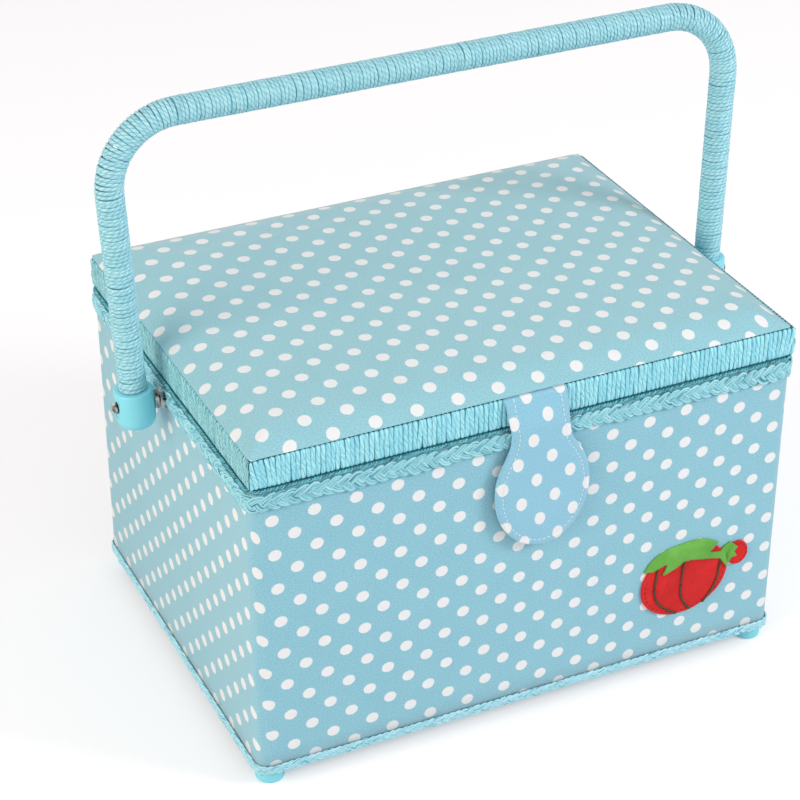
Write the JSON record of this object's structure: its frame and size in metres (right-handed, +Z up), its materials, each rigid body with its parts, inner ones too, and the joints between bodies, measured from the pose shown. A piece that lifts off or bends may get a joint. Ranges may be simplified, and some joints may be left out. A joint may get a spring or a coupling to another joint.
{
  "type": "sewing box with handle",
  "caption": "Fabric-covered sewing box with a padded hinged lid, tab closure, swing handle and inner tray.",
  "frame": {"origin": "under the middle of the box, on the plane its feet stand on", "axes": "+X along the front to the right, +Y from front to back, +Z up"},
  "size_m": [0.3804, 0.2501, 0.3506],
  "materials": {
    "fibreboard": "matt",
    "wood": "matt",
    "card": "matt",
    "dotted_fabric": "printed cotton with white dots",
    "plain_fabric": "plain cotton",
    "wound_cord": "glossy wound cord",
    "braid": "glossy plaited cord",
    "moulded_plastic": "gloss",
    "tray_plastic": "satin",
    "steel": "bright",
    "hinge_brass": "satin",
    "red_felt": "felt",
    "green_felt": "felt",
    "foam": "soft foam"
  },
  "bodies": {
    "box": {"front_board": "fibreboard", "back_board": "fibreboard", "left_board": "fibreboard", "right_board": "fibreboard", "base_board": "fibreboard", "outer_cover": "dotted_fabric", "base_cover": "plain_fabric", "lining": "plain_fabric", "edge_binding": "wound_cord", "top_braid": "braid", "base_braid": "braid", "feet": "moulded_plastic", "foot_screws": "steel", "hinge_lower_leaves": "hinge_brass", "hinge_pins": "hinge_brass", "hinge_lower_screws": "steel", "snap_plate": "steel", "felt_tomato": "red_felt", "felt_berry": "red_felt", "felt_leaves": "green_felt", "tray": "tray_plastic", "tray_ledges": "wood"},
    "lid": {"lid_rail_front": "wood", "lid_rail_back": "wood", "lid_rail_left": "wood", "lid_rail_right": "wood", "lid_wrap_front": "wound_cord", "lid_wrap_back": "wound_cord", "lid_wrap_left": "wound_cord", "lid_wrap_right": "wound_cord", "lid_panel": "fibreboard", "pad_foam": "foam", "pad_cover": "dotted_fabric", "lid_lining": "plain_fabric", "lid_pocket": "plain_fabric", "pocket_elastic": "plain_fabric", "pincushion": "red_felt", "hinge_upper_leaves": "hinge_brass", "hinge_upper_screws": "steel", "tab_anchor": "dotted_fabric"},
    "tab": {"tab_core": "card", "tab_front_cover": "dotted_fabric", "tab_back_cover": "plain_fabric", "snap_magnet": "steel"},
    "pivots": {"pivot_bolts": "steel", "wall_washers": "steel", "wall_nuts": "steel", "socket_nuts": "steel"},
    "handle": {"handle_tube": "steel", "handle_wrap": "wound_cord", "socket_left": "moulded_plastic", "socket_right": "moulded_plastic"}
  },
  "joints": [
    {"name": "lid_hinge", "type": "hinge", "parent": "box", "child": "lid", "pos_m": [0, 0.1222, 0.19015], "axis": [-1, 0, 0], "range_deg": [0, 100]},
    {"name": "tab_flap", "type": "hinge", "parent": "lid", "child": "tab", "pos_m": [0, -0.1243, 0.2071], "axis": [-1, 0, 0], "range_deg": [0, 20]},
    {"name": "pivot_turn", "type": "hinge", "parent": "box", "child": "pivots", "pos_m": [0, 0, 0.181], "axis": [-1, 0, 0], "range_deg": [0, 100]},
    {"name": "handle_swing", "type": "hinge", "parent": "pivots", "child": "handle", "pos_m": [0, 0, 0.181], "axis": [-1, 0, 0], "range_deg": [-100, 0]}
  ],
  "couplings": [
    {"joint": "pivot_turn", "follows": "lid_hinge", "ratio": 1}
  ]
}
